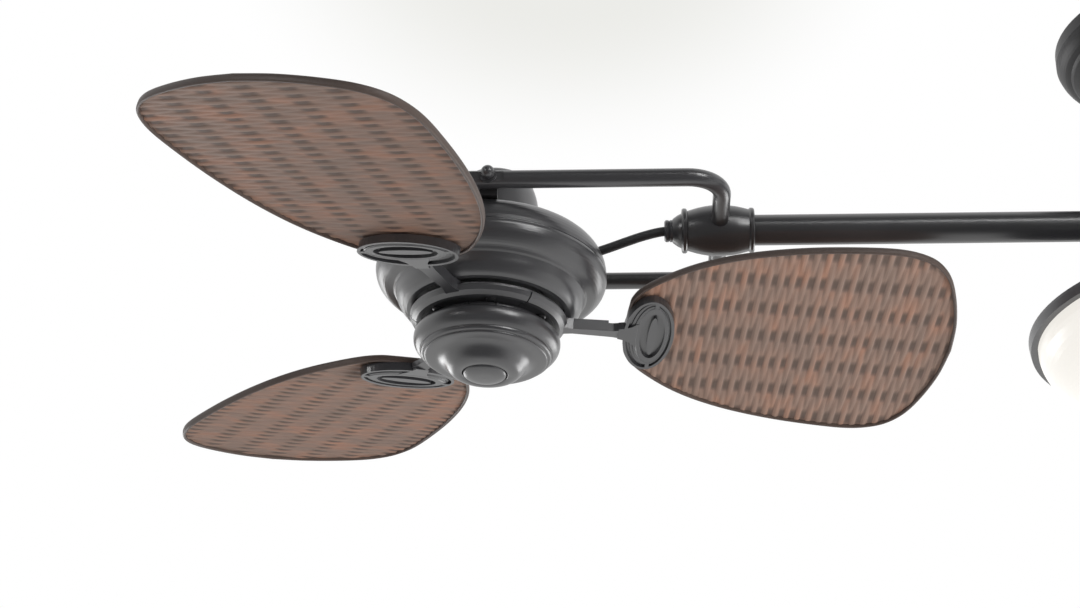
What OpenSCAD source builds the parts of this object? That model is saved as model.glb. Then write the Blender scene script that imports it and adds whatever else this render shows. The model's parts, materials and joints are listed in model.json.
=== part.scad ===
// Twin head ceiling fan: two three-bladed fan heads hang in forks at the ends of one straight arm,
// and a bowl light hangs below the middle. Millimetres.
// Origin: centre of the ceiling face. +X runs along the arm, +Z points up.
// A head is drawn about its own tilt pivot, with its spin axis upright, and is then leaned and placed.

/* [Overall] */
// From the middle of the fan to a head's tilt pivot
head_reach = 573; // [500:1:640]
// From the ceiling down to the arm's axis
arm_drop = 175.6; // [150:0.2:300]
// Outward lean of each head as it hangs, in degrees
head_lean = 2.5; // [0:0.1:4]

/* [Arm and downrod] */
// Outer diameter of the arm tubes
arm_od = 25; // [22:0.5:27]
// Outer diameter of the downrod
rod_od = 25; // [21:0.5:27]
// Wall of the arm tubes and the downrod
tube_wall = 2; // [1.5:0.1:3]
// Half the length of the middle hub
mid_hub_half = 56; // [50:1:70]
// Largest radius of the middle hub's barrel
mid_hub_r = 24; // [22:0.5:30]
// Reach of the middle hub's necks above and below the arm's axis
mid_neck = 34; // [30:1:40]

/* [Fork] */
// From the tilt pivot to the axis of the fork's legs
fork_reach = 182.5; // [175:0.5:200]
// From the head's middle to the axis of a tine
fork_half = 85.5; // [82:0.1:88]
// Outer diameter of a tine
tine_od = 14.2; // [13:0.2:15]
// Wall of a tine
tine_wall = 1.6; // [1.2:0.1:2.5]
// Centre-line radius of a tine's bend
tine_bend = 28; // [22:1:36]
// How far a tine runs past the pivot
tine_tail = 20; // [16:1:22]
// Largest radius of the turned hub that carries the fork
egg_r = 20.8; // [19:0.2:23]
// Radius of the ring at each end of that hub
egg_ring_r = 18.3; // [17.5:0.1:20]
// Radius of the gland nut on its nose
gland_r = 9; // [8:0.5:10]

/* [Tilt joint] */
// Width of the steel strap that carries the motor
strap_w = 14; // [12:0.5:16]
// Thickness of that strap
strap_t = 3.5; // [3:0.1:4]
// Radius of a thumb screw's shank
shank_r = 3; // [2.5:0.1:3.5]
// Radius of a thumb screw's ball
ball_r = 5.3; // [4.5:0.1:7]
// Running clearance of shanks, axles and finial
run_gap = 0.06; // [0.02:0.01:0.1]

/* [Motor housing] */
// Largest radius of the housing
housing_r = 93; // [90:0.5:98]
// Drop from the pivot to the flat top of the upper shell
top_drop = 10.5; // [10:0.5:13]
// Radius of that flat top
top_flat_r = 67; // [62:1:70]
// Drop to the seam between the upper shell and the housing
seam_drop = 36.5; // [35:0.5:39]
// Drop to the step under the housing
step_drop = 56.5; // [55:0.5:58.5]
// Radius of the step
step_r = 76; // [74:0.5:79]
// Drop to the housing's bottom rim
rim_drop = 73.5; // [72:0.5:74]
// Radius of the bottom rim
rim_r = 67.5; // [65:0.5:70]
// Wall of the pressed shells
shell_wall = 1.5; // [1:0.1:2]
// Radius of the wiring cap on top of the motor, at its foot
cap_r = 38.5; // [36:0.5:43]
// Height of the wiring cap's top above the pivot
cap_rise = 49.5; // [44:0.5:56]

/* [Motor] */
// Radius of the hollow motor shaft
shaft_r = 8.5; // [8:0.5:10]
// Radius of the shaft's threaded upper end
stud_r = 5.5; // [4.5:0.5:6]
// Radius of the laminated stator core
core_r = 54; // [48:1:55]
// Height of the stator core
core_h = 18; // [14:1:20]
// Air gap between core and rotor
air_gap = 0.6; // [0.4:0.1:1]

/* [Blade ring and switch cup] */
// Drop to the top of the ring that the blade irons form
ring_drop = 78.5; // [77.5:0.1:80]
// Outer radius of that ring
ring_r = 62.6; // [61:0.2:64.6]
// Height of that ring
ring_h = 7.3; // [6.5:0.1:7.4]
// Drop to the shoulder of the switch cup
cup_drop = 93.7; // [93:0.1:97]
// Radius of the switch cup's shoulder
cup_r = 57.2; // [55:0.2:61]
// Radius of the bead round the cup's dished face
bead_r = 49; // [46:0.5:52]
// Radius of the plug in the middle of the dished face
plug_r = 17.2; // [14:0.2:20]
// Radius of the plate that carries the cup
plate_r = 47.4; // [46.4:0.2:48.6]

/* [Blades] */
// Blades on each head
blade_count = 3; // [3:1:3]
// Direction of the first blade from the arm, in degrees
blade_start = 5.7; // [-10:0.1:15]
// Radius of the circle that the blade tips run on
blade_tip_r = 372.6; // [340:0.2:410]
// Radius at which a blade starts
blade_root_r = 109; // [108:0.5:113]
// Half of a blade's greatest width
blade_half = 115.7; // [90:0.1:125]
// Thickness of a blade's rim
blade_rim_t = 6; // [5:0.2:8]
// Thickness of a blade's woven field
blade_web_t = 3.6; // [3:0.2:5]
// Width of a blade's rim
blade_rim_w = 3; // [2:0.5:6]
// Pitch of a blade, in degrees
blade_pitch = 11.2; // [6:0.1:15]
// Drop of a blade's middle plane at the spin axis
blade_drop = 74.6; // [72:0.1:76]

/* [Blade irons] */
// Half of the medallion's length across the blade
medal_half = 44; // [40:1:48]
// Half of the medallion's width along the blade
medal_r = 20.3; // [19:0.5:22]
// Distance of the medallion's middle from the spin axis
medal_at = 128; // [127:0.5:132]
// Depth of the medallion below the blade
medal_h = 7; // [6:0.5:9]
// Width of the iron's arm at the ring
iron_w = 8.5; // [7:0.5:12]
// Width of the iron's arm at the medallion
iron_w_end = 14; // [10:0.5:18]
// Height of the iron's arm
iron_h = 9.4; // [7.5:0.1:9.8]

/* [Canopy and hanger] */
// Radius of the ceiling canopy
canopy_r = 101; // [96:0.2:106]
// Height of the canopy's upright band
canopy_band = 10.5; // [10:0.5:16]
// Depth of the whole canopy
canopy_depth = 62; // [60:1:72]
// Radius of the hanger ball
hang_ball_r = 20; // [18:0.5:22]
// Distance between the two ceiling box slots
box_spacing = 88.9; // [82:0.1:100]
// Width of those slots
box_slot_w = 5; // [4:0.5:6]
// Travel of a screw along a slot
box_slot_travel = 14; // [8:1:16]

/* [Light] */
// Radius of the light pan's rim
pan_r = 148.3; // [140:0.1:156]
// Drop from the arm's axis to the pan's rim
pan_drop = 91.3; // [88:0.1:100]
// Height of the pan's skirt
skirt_h = 9.5; // [8:0.5:14]
// Depth of the glass bowl below the skirt
bowl_depth = 57; // [48:1:64]
// Thickness of the glass
glass_t = 3; // [2.5:0.1:4]
// Radius of the rod that holds the bowl
light_rod_r = 5; // [4:0.5:6]
// Radius of a bulb
bulb_r = 19; // [16:1:20]

/* [Hidden] */
$fn = 72;

metal = "#4c4c50";
dark_metal = "#2b2b2e";
steel = "#9a9ca0";
copper = "#b06a3c";
wicker = "#8b6f60";
opal = "#f4efe4";
rubber = "#333336";

LEFT = -1;
RIGHT = 1;
fit = 0.05;      // radial clearance of a tube in its socket
seat = 0.3;      // gap between a moving piece and its seat
cut = 1;         // overrun of a cutting solid
spoke = 360 / blade_count;

// Fork hub, along the arm from the axis of the fork's legs
egg_nose = 37.7;
egg_ring_at = 30.2;
egg_ring_w = 4;
egg_back = 28;
arm_socket_at = 9.5;
leg_socket_at = 9;
gland_len = 6.6;
lead_r = 3.85;
lead_bore = 4;

// Tilt joint, across the arm
tine_flat_in = 5.6;
tine_flat_out = 5.9;
ear_out = fork_half - tine_flat_in - seat;
ear_t = 3.5;
knob_seat = fork_half + tine_flat_out + seat;
washer_t = 1.5;

// Motor stack, as drops from the pivot
nut_h = 6;
collar_h = 3.5;
rotor_top = top_drop + shell_wall + collar_h + 1;
rotor_wall_r = core_r + air_gap + 5;
rotor_bottom = step_drop + 6;
rotor_disc = 2.5;
bearing_r = 16;
bearing_h = 7;
hub_wall = 3;
neck_r = 24;
wheel_h = 3.5;
core_top = (rotor_top + rotor_bottom - core_h) / 2;
throat_r = 61;
plate_top = ring_drop + ring_h + 1.7;
plate_bottom = cup_drop + 3;
collar_top = plate_top + 0.5;
foot_bottom = ring_drop + 5.5;
foot_screw_r = 47;
foot_in_r = 38;
cup_screw_drop = plate_top + 2.5;

// Hanger
bracket_t = 2.5;
bracket_w = 36;
leg_half = 31;
tab_half = sqrt(pow(canopy_r - shell_wall - 0.4, 2) - pow(bracket_w / 2, 2));
seat_hole_r = 15.5;
seat_drop = 41.5;
ball_drop = seat_drop - sqrt(hang_ball_r * hang_ball_r - seat_hole_r * seat_hole_r) - fit;
rod_top = ball_drop - hang_ball_r * 0.7;
receiver_drop = ball_drop - sqrt(hang_ball_r * hang_ball_r - bracket_w * bracket_w / 4);
bar_turn = 90;

// Light, as drops from the arm's axis
pan_top = pan_drop - 13;
skirt_drop = pan_drop + skirt_h;
bowl_rim_r = pan_r - 6.8;
bowl_bottom = skirt_drop + bowl_depth;
bulb_drop = pan_drop + 13;
bulb_start = 56;
bulb_end = 104;
holder_start = 22;

// The visible lead of each head, from its gland to the motor's shoulder, from the tilt pivot
lead_out = fork_reach - 32;
lead_in = 70;
lead_share = [[1, 0], [0.89, -0.1], [0.78, -1.2], [0.622, -4.8], [0.463, -9.5], [0.305, -14.5],
    [0.195, -17.8], [0.0976, -20.6], [0, -24]];
lead_points = [for (k = lead_share) [lead_in + (lead_out - lead_in) * k[0], 0, k[1]]];
lead_sides = 10;

// Curve through a list of points, n steps from each to the next
function at(p, i) = p[max(0, min(len(p) - 1, i))];
function between(a, b, c, d, t) = 0.5 * (2 * b + (c - a) * t + (2 * a - 5 * b + 4 * c - d) * t * t
    + (3 * b - a - 3 * c + d) * t * t * t);
function curve(p, n) = [for (i = [0 : len(p) - 2]) for (j = [0 : n - 1])
    between(at(p, i - 1), p[i], p[i + 1], at(p, i + 2), j / n), p[len(p) - 1]];
// Points moved sideways by d, to the left of the direction of travel
function travel(p, i) = at(p, i + 1) - at(p, i - 1);
function left_of(v) = [-v[1], v[0]] / norm(v);
function shifted(p, d) = [for (i = [0 : len(p) - 1]) p[i] + d * left_of(travel(p, i))];
function reversed(p) = [for (i = [len(p) - 1 : -1 : 0]) p[i]];
// A line of points given a wall
function walled(p, d) = concat(p, reversed(shifted(p, d)));
function ellipse_points(a, b, n = 48) = [for (i = [0 : n - 1])
    [a * cos(360 * i / n), b * sin(360 * i / n)]];
// Half outline of a blade, root to tip, as distance along and across it
blade_span = blade_tip_r - blade_root_r;
blade_knots = [[0, 0], [0.4, 0.2], [1, 0.3], [3.5, 0.41], [9, 0.54], [17, 0.68], [26, 0.79],
    [37, 0.88], [50.5, 0.95], [64.5, 0.99], [75.5, 1], [83, 0.965], [88.5, 0.89], [93, 0.75],
    [96.5, 0.53], [99, 0.27], [100, 0]];
blade_side = curve([for (k = blade_knots) [blade_root_r + blade_span * k[0] / 100,
    blade_half * k[1]]], 3);
blade_outline = concat(blade_side, [for (i = [len(blade_side) - 2 : -1 : 1])
    [blade_side[i][0], -blade_side[i][1]]]);
function loop_travel(p, i) = p[(i + 1) % len(p)] - p[(i + len(p) - 1) % len(p)];
blade_field = [for (i = [0 : len(blade_outline) - 1])
    blade_outline[i] - blade_rim_w * left_of(loop_travel(blade_outline, i))];

// Round bar along X or Y
module bar_x(r, from, to) {
    translate([from, 0, 0]) rotate([0, 90, 0]) cylinder(r = r, h = to - from);
}
module bar_y(r, from, to) {
    translate([0, to, 0]) rotate([90, 0, 0]) cylinder(r = r, h = to - from);
}
// Body turned about Z from a profile of radius and height
module turned(profile) {
    rotate_extrude() polygon(profile);
}
// Body turned about X from a profile of radius and distance along X
module turned_x(profile) {
    rotate([0, 90, 0]) rotate_extrude() polygon(profile);
}
// Places what belongs to one side of the fan at that side's pivot
module at_side(side) {
    rotate([0, 0, side == LEFT ? 0 : 180]) translate([-head_reach, 0, -arm_drop]) children();
}
// The same, leaned with the head
module in_head(side) {
    at_side(side) rotate([0, head_lean, 0]) children();
}
// One blade's frame: X along the blade, Y across it, Z square to it
module on_blade(i) {
    rotate([0, 0, blade_start + spoke * i]) translate([0, 0, -blade_drop])
        rotate([-blade_pitch, 0, 0]) children();
}

// Slotted steel bar on the ceiling box, with the cradle that the hanger ball sits in
module ceiling_bracket() {
    color(steel) rotate([0, 0, bar_turn]) difference() {
        union() {
            translate([-tab_half, -bracket_w / 2, -bracket_t])
                cube([2 * tab_half, bracket_w, bracket_t]);
            for (s = [-1, 1]) {
                translate([s * (tab_half - bracket_t / 2) - bracket_t / 2, -bracket_w / 4, -13])
                    cube([bracket_t, bracket_w / 2, 13]);
                translate([s * (leg_half + bracket_t / 2) - bracket_t / 2, -bracket_w / 2,
                    -seat_drop - bracket_t])
                    cube([bracket_t, bracket_w, seat_drop + bracket_t]);
            }
            translate([-leg_half, -bracket_w / 2, -seat_drop - bracket_t])
                cube([2 * leg_half, bracket_w, bracket_t]);
        }
        translate([0, 0, -seat_drop - bracket_t - cut])
            cylinder(r = seat_hole_r, h = bracket_t + 2 * cut);
        translate([0, 0, -bracket_t - cut]) cylinder(r = 12, h = bracket_t + 2 * cut);
        for (s = [-1, 1]) translate([s * box_spacing / 2, 0, -bracket_t - cut]) {
            for (e = [-1, 1]) translate([e * box_slot_travel / 2, 0, 0])
                cylinder(d = box_slot_w, h = bracket_t + 2 * cut);
            translate([-box_slot_travel / 2, -box_slot_w / 2, 0])
                cube([box_slot_travel, box_slot_w, bracket_t + 2 * cut]);
        }
        translate([0, 0, -canopy_band / 2]) bar_x(2, -tab_half - cut, tab_half + cut);
    }
}

// Three-tiered pressed cover over the ceiling bracket
canopy_side = concat([[canopy_r, 0], [canopy_r, -canopy_band]],
    curve([[canopy_r - 0.8, -canopy_band - 1.6], [canopy_r - 2.2, -canopy_band - 5],
        [canopy_r - 6.5, -canopy_band - 10], [canopy_r - 11, -canopy_band - 12.2]], 3),
    curve([[canopy_r - 12.4, -canopy_band - 13.8], [canopy_r - 16, -canopy_band - 17],
        [52, -canopy_depth + 15], [34, -canopy_depth + 6], [20, -canopy_depth]], 4));
module canopy() {
    color(metal) rotate([0, 0, bar_turn]) difference() {
        turned(walled(canopy_side, -shell_wall));
        translate([0, 0, -canopy_band / 2]) bar_x(2.2, -canopy_r - cut, canopy_r + cut);
    }
}

// Two pan-head screws through the canopy's band
module canopy_screws() {
    color(steel) rotate([0, 0, bar_turn]) for (s = [0, 180]) rotate([0, 0, s])
        translate([0, 0, -canopy_band / 2]) {
            bar_x(1.95, tab_half - 6, canopy_r + 0.5);
            turned_x([[0, canopy_r + 0.1], [4, canopy_r + 0.1], [3.6, canopy_r + 1.6],
                [2.2, canopy_r + 2.4], [0, canopy_r + 2.6]]);
        }
}

// Ball that carries the downrod in the bracket's cradle
module hanger_ball() {
    color(dark_metal) translate([0, 0, -ball_drop]) difference() {
        sphere(r = hang_ball_r);
        cylinder(r = rod_od / 2 + fit, h = 3 * hang_ball_r, center = true);
        bar_y(3 + fit, -hang_ball_r, hang_ball_r);
        translate([-hang_ball_r, -hang_ball_r, hang_ball_r * 0.7])
            cube([2 * hang_ball_r, 2 * hang_ball_r, hang_ball_r]);
    }
}

// Cross pin through ball and downrod
module hanger_pin() {
    color(steel) translate([0, 0, -ball_drop]) bar_y(3, -hang_ball_r + 3, hang_ball_r - 3);
}

// Remote control receiver beside the cradle
module receiver() {
    color("#d9d9d4") rotate([0, 0, bar_turn])
        translate([-36, bracket_w / 2 + seat, -receiver_drop]) {
            cube([72, 24, receiver_drop - 5.5]);
            translate([2, 2, 0]) cube([68, 20, receiver_drop - 2.8]);
        }
}

module downrod() {
    color(metal) difference() {
        translate([0, 0, -arm_drop + 14]) cylinder(d = rod_od, h = arm_drop - 14 - rod_top);
        translate([0, 0, -arm_drop]) cylinder(d = rod_od - 2 * tube_wall, h = arm_drop);
        translate([0, 0, -ball_drop]) bar_y(3 + fit, -rod_od, rod_od);
    }
}

// Turned barrel with a socket for each arm, the downrod and the light's rod
module middle_hub() {
    ring = mid_hub_half;
    barrel = concat([[0, -ring], [17.5, -ring], [19, -ring + 1], [19, -ring + 3.5],
        [16.5, -ring + 4.5]],
        curve([[17, -ring + 6], [mid_hub_r - 2, -ring / 2], [mid_hub_r, 0],
            [mid_hub_r - 2, ring / 2], [17, ring - 6]], 5),
        [[16.5, ring - 4.5], [19, ring - 3.5], [19, ring - 1], [17.5, ring], [0, ring]]);
    color(metal) translate([0, 0, -arm_drop]) difference() {
        union() {
            turned_x(barrel);
            turned([[0, 0], [19, 0], [19, mid_neck - 9], [20.5, mid_neck - 8],
                [20.5, mid_neck - 4], [16.5, mid_neck], [0, mid_neck]]);
            turned([[0, 0], [0, -mid_neck], [21, -mid_neck], [21, -mid_neck + 3],
                [18.5, -mid_neck + 5], [18.5, 0]]);
        }
        for (s = [-1, 1]) scale([s, 1, 1]) bar_x(arm_od / 2 + fit, 24, ring + cut);
        bar_x(9, -25, 25);
        translate([0, 0, 14]) cylinder(r = rod_od / 2 + fit, h = mid_neck);
        cylinder(r = 9, h = 15);
        translate([0, 0, -mid_neck - cut]) cylinder(r = light_rod_r + fit, h = 22 + cut);
        translate([0, 0, -mid_neck + 20]) cylinder(r = 3, h = mid_neck - 20);
        for (x = [-42, 42]) translate([x, 0, 0]) bar_y(2.5 + fit, 0, 30);
        translate([0, 0, mid_neck - 13]) bar_y(2.5 + fit, 0, 30);
    }
}

// Grub screws that lock the arms and the downrod in the middle hub
module hub_set_screws() {
    color(dark_metal) translate([0, 0, -arm_drop]) {
        for (x = [-42, 42]) translate([x, 0, 0]) set_screw(arm_od / 2 + fit, 20.5);
        translate([0, 0, mid_neck - 13]) set_screw(rod_od / 2 + fit, 20);
    }
}
module set_screw(from, to) {
    difference() {
        bar_y(2.5, from, to);
        translate([0, to + cut, 0]) rotate([90, 0, 0]) cylinder(r = 1.3, h = 3, $fn = 6);
    }
}

module arms() {
    inner = 24 + seat;
    outer = head_reach - fork_reach - arm_socket_at - seat;
    color(metal) for (s = [0, 180]) rotate([0, 0, s]) translate([0, 0, -arm_drop])
        difference() {
            bar_x(arm_od / 2, inner, outer);
            bar_x(arm_od / 2 - tube_wall, inner - cut, outer + cut);
        }
}

// Egg-shaped turned hub at the end of an arm
egg_side = concat([[0, -egg_nose], [gland_r + 0.6, -egg_nose]],
    curve([[gland_r + 1.2, -egg_nose + 0.6], [12.6, -egg_nose + 4], [14, -egg_ring_at - 0.6]], 4),
    [[egg_ring_r - 0.9, -egg_ring_at], [egg_ring_r, -egg_ring_at + 1],
        [egg_ring_r, -egg_ring_at + egg_ring_w - 1], [egg_ring_r - 0.9, -egg_ring_at + egg_ring_w]],
    curve([[16.2, -egg_ring_at + egg_ring_w + 0.4], [egg_r - 1.6, -15], [egg_r, -2.5],
        [egg_r - 0.9, 12], [17.2, egg_back - egg_ring_w - 0.4]], 5),
    [[egg_ring_r - 0.8, egg_back - egg_ring_w], [egg_ring_r, egg_back - egg_ring_w + 1],
        [egg_ring_r, egg_back - 1], [egg_ring_r - 0.8, egg_back], [0, egg_back]]);
module fork_hubs() {
    color(metal) for (side = [LEFT, RIGHT]) at_side(side) translate([fork_reach, 0, 0])
        difference() {
            turned_x(egg_side);
            bar_x(arm_od / 2 + fit, arm_socket_at, egg_back + cut);
            bar_x(5, -egg_nose - cut, arm_socket_at + cut);
            bar_x(6.5 + fit, -egg_nose - cut, -egg_nose + 7.5);
            for (s = [-1, 1]) scale([1, s, 1]) bar_y(tine_od / 2 + fit, leg_socket_at, egg_r + cut);
        }
}

// Gland nut that the lead comes out of
module gland_nuts() {
    color(dark_metal) for (side = [LEFT, RIGHT]) at_side(side)
        translate([fork_reach - egg_nose, 0, 0])
            turned_x([[lead_bore, -gland_len], [gland_r - 1.2, -gland_len],
                [gland_r, -gland_len + 1.2], [gland_r, -gland_len + 3.2],
                [gland_r - 0.8, -gland_len + 3.8], [gland_r, -gland_len + 4.6], [gland_r, 0],
                [6.5, 0], [6.5, 7], [lead_bore, 7]]);
}

// Bent tine tube in the plan of the arm, s = -1 in front and 1 behind
module tine(s) {
    out_r = tine_od / 2;
    bore_r = out_r - tine_wall;
    scale([1, s, 1]) difference() {
        union() {
            translate([0, fork_half, 0]) bar_x(out_r, -tine_tail, fork_reach - tine_bend);
            translate([-tine_tail, fork_half, 0]) sphere(r = out_r);
            translate([fork_reach, 0, 0]) bar_y(out_r, leg_socket_at + seat, fork_half - tine_bend);
            tine_elbow(out_r);
        }
        translate([0, fork_half, 0]) bar_x(bore_r, 14, fork_reach - tine_bend + 0.01);
        translate([fork_reach, 0, 0]) bar_y(bore_r, 0, fork_half - tine_bend + 0.01);
        tine_elbow(bore_r);
        translate([-2 * tine_tail, fork_half - out_r - cut, -out_r])
            cube([2 * tine_tail + 12, out_r + cut - tine_flat_in, tine_od]);
        translate([-2 * tine_tail, fork_half + tine_flat_out, -out_r])
            cube([2 * tine_tail + 12, out_r + cut, tine_od]);
        bar_y(shank_r + run_gap, 0, fork_half + out_r + cut);
    }
}
module tine_elbow(r) {
    translate([fork_reach - tine_bend, fork_half - tine_bend, 0])
        rotate_extrude(angle = 90) translate([tine_bend, 0]) circle(r = r);
}
module fork_tines() {
    color(metal) for (side = [LEFT, RIGHT]) at_side(side) for (s = [-1, 1]) tine(s);
}

// Hollow rod from the middle hub down through the light
module light_rod() {
    color(steel) translate([0, 0, -arm_drop - bowl_bottom - 16]) difference() {
        cylinder(r = light_rod_r, h = bowl_bottom + 16 - mid_neck + 20);
        translate([0, 0, 30]) cylinder(r = light_rod_r - 2, h = bowl_bottom);
    }
}

// Cup between the middle hub and the light pan
module light_housing() {
    side_line = concat([[light_rod_r + fit, -mid_neck - seat], [26, -mid_neck - seat]],
        curve([[30, -mid_neck - 1.2], [38, -mid_neck - 6], [43.5, -mid_neck - 15],
            [45, -mid_neck - 26]], 4), [[45, -pan_top + 3], [47.5, -pan_top + 2],
            [47.5, -pan_top + 0.05]]);
    color(metal) translate([0, 0, -arm_drop]) turned(walled(side_line, -shell_wall));
}

// Shallow pan with the dark skirt round the glass
module light_pan() {
    side_line = concat([[light_rod_r + fit, -pan_top], [50, -pan_top]],
        curve([[54, -pan_top - 0.3], [95, -pan_top - 5.5], [pan_r - 10, -pan_drop + 1.4],
            [pan_r - 2, -pan_drop + 0.2]], 4),
        [[pan_r, -pan_drop - 1.2], [pan_r - 0.2, -pan_drop - 3.5], [pan_r - 1.2, -skirt_drop]]);
    color(dark_metal) translate([0, 0, -arm_drop]) {
        turned(walled(side_line, -shell_wall));
        turned([[bowl_rim_r + 0.4, -skirt_drop], [pan_r - 1.2, -skirt_drop],
            [pan_r - 1.5, -skirt_drop + 1.2], [bowl_rim_r + 0.4, -skirt_drop + 1.2]]);
    }
}

// Three lamp holders under the pan, pointing outward
module lamp_holders() {
    color("#e8e4da") translate([0, 0, -arm_drop]) for (i = [0 : 2])
        rotate([0, 0, 90 + 120 * i]) difference() {
            union() {
                translate([0, 0, -bulb_drop]) bar_x(15, holder_start, bulb_start);
                translate([holder_start, -11, -bulb_drop])
                    cube([25, 22, bulb_drop - pan_top - shell_wall - 0.1]);
            }
            translate([0, 0, -bulb_drop]) bar_x(13 + fit, holder_start + 8, bulb_start + cut);
        }
}

// Three small globe bulbs
module bulbs() {
    envelope = concat([[0, holder_start + 9], [13, holder_start + 9], [13, bulb_start]],
        curve([[13.4, bulb_start + 2], [bulb_r - 1, bulb_start + 14], [bulb_r, bulb_start + 24],
            [bulb_r - 4, bulb_end - 8], [bulb_r - 11, bulb_end - 1.5], [0, bulb_end]], 4));
    color("#fff4dc") translate([0, 0, -arm_drop]) for (i = [0 : 2])
        rotate([0, 0, 90 + 120 * i]) translate([0, 0, -bulb_drop]) turned_x(envelope);
}

// Opal bowl, half an ellipsoid with an upright rim inside the skirt
module glass_bowl() {
    rim_top = -pan_drop - 1;
    last = acos((light_rod_r + 1) / bowl_rim_r);
    side_line = concat([[bowl_rim_r, rim_top]], [for (k = [0 : 24])
        [bowl_rim_r * cos(last * k / 24), -skirt_drop - bowl_depth * sin(last * k / 24)]]);
    color(opal) translate([0, 0, -arm_drop]) turned(walled(side_line, -glass_t));
}

// Turned nut that holds the bowl up
module finial() {
    top = -bowl_bottom - seat;
    bore = light_rod_r + run_gap;
    color(metal) translate([0, 0, -arm_drop]) turned(concat([[bore, top], [15, top]],
        curve([[16, top - 1.5], [14, top - 4], [8.5, top - 6.5], [7.6, top - 9],
            [10.5, top - 13], [10.5, top - 17], [6, top - 21.5], [0, top - 23]], 4),
        [[0, top - 17.5], [bore, top - 17.5]]));
}

// Round cord swept along the lead's points
function unit(v) = v / norm(v);
module lead() {
    path = curve(lead_points, 2);
    last = len(path) - 1;
    rings = [for (i = [0 : last]) let (d = unit(travel(path, i)), up = unit(cross(d, [0, 1, 0])))
        for (k = [0 : lead_sides - 1])
            path[i] + lead_r * (cos(360 * k / lead_sides) * [0, 1, 0]
                + sin(360 * k / lead_sides) * up)];
    walls = [for (i = [0 : last - 1]) for (k = [0 : lead_sides - 1])
        let (a = i * lead_sides + k, b = i * lead_sides + (k + 1) % lead_sides)
            each [[a, b, b + lead_sides], [a, b + lead_sides, a + lead_sides]]];
    start_cap = [for (k = [1 : lead_sides - 2]) [0, k + 1, k]];
    end_at = last * lead_sides;
    end_cap = [for (k = [1 : lead_sides - 2]) [end_at, end_at + k, end_at + k + 1]];
    color(rubber) polyhedron(rings, concat(walls, start_cap, end_cap));
}

// Thumb screw with a ball for a head, s = -1 in front and 1 behind
module knob(s) {
    color(metal) scale([1, s, 1]) {
        bar_y(shank_r, ear_out - ear_t - 2, knob_seat + 1);
        bar_y(shank_r + 3.5, knob_seat, knob_seat + washer_t);
        translate([0, knob_seat + washer_t + ball_r - 0.8, 0]) sphere(r = ball_r);
    }
}

// Steel strap across the motor's top, with an ear up at each end for the thumb screws
module tilt_strap() {
    color(dark_metal) difference() {
        union() {
            translate([-strap_w / 2, -ear_out, -top_drop]) cube([strap_w, 2 * ear_out, strap_t]);
            for (s = [-1, 1]) scale([1, s, 1]) {
                translate([-strap_w / 2, ear_out - ear_t, -top_drop])
                    cube([strap_w, ear_t, top_drop]);
                bar_y(strap_w / 2, ear_out - ear_t, ear_out);
            }
        }
        bar_y(shank_r + run_gap, -ear_out - cut, ear_out + cut);
        translate([0, 0, -top_drop - cut]) cylinder(r = stud_r + fit, h = strap_t + 2 * cut);
    }
}

// Bell-shaped cap over the motor's wiring
module wiring_cap() {
    side_line = curve([[cap_r, -top_drop + 0.1], [cap_r - 0.4, -top_drop + 6],
        [cap_r - 2.2, -top_drop + 22], [cap_r - 4.5, -top_drop + 38], [cap_r - 7.3, cap_rise - 12.5], [cap_r - 11.5, cap_rise - 4],
        [cap_r - 18.5, cap_rise - 0.8], [cap_r - 29.5, cap_rise], [0, cap_rise]], 4);
    color(metal) difference() {
        turned(walled(side_line, shell_wall));
        translate([-strap_w / 2 - seat, -cap_r - cut, -top_drop - cut])
            cube([strap_w + 2 * seat, 2 * (cap_r + cut), strap_t + seat + cut]);
    }
}

// Domed upper half of the motor's cover
module upper_shell() {
    dome = [housing_r - 0.5 - top_flat_r, seam_drop - top_drop];
    outer = [for (a = [0 : 7.5 : 90]) [top_flat_r + dome[0] * cos(a), -seam_drop + dome[1] * sin(a)]];
    inner = [for (a = [90 : -7.5 : 0]) [top_flat_r + (dome[0] - shell_wall) * cos(a),
        -seam_drop + (dome[1] - shell_wall) * sin(a)]];
    hole = stud_r + fit;
    color(metal) difference() {
        turned(concat(outer, [[hole, -top_drop], [hole, -top_drop - shell_wall]], inner));
        rotate([0, -head_lean, 0]) translate(lead_points[7]) rotate([0, 69, 0])
            cylinder(r = lead_r + 0.6, h = 30, center = true);
    }
}

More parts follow.
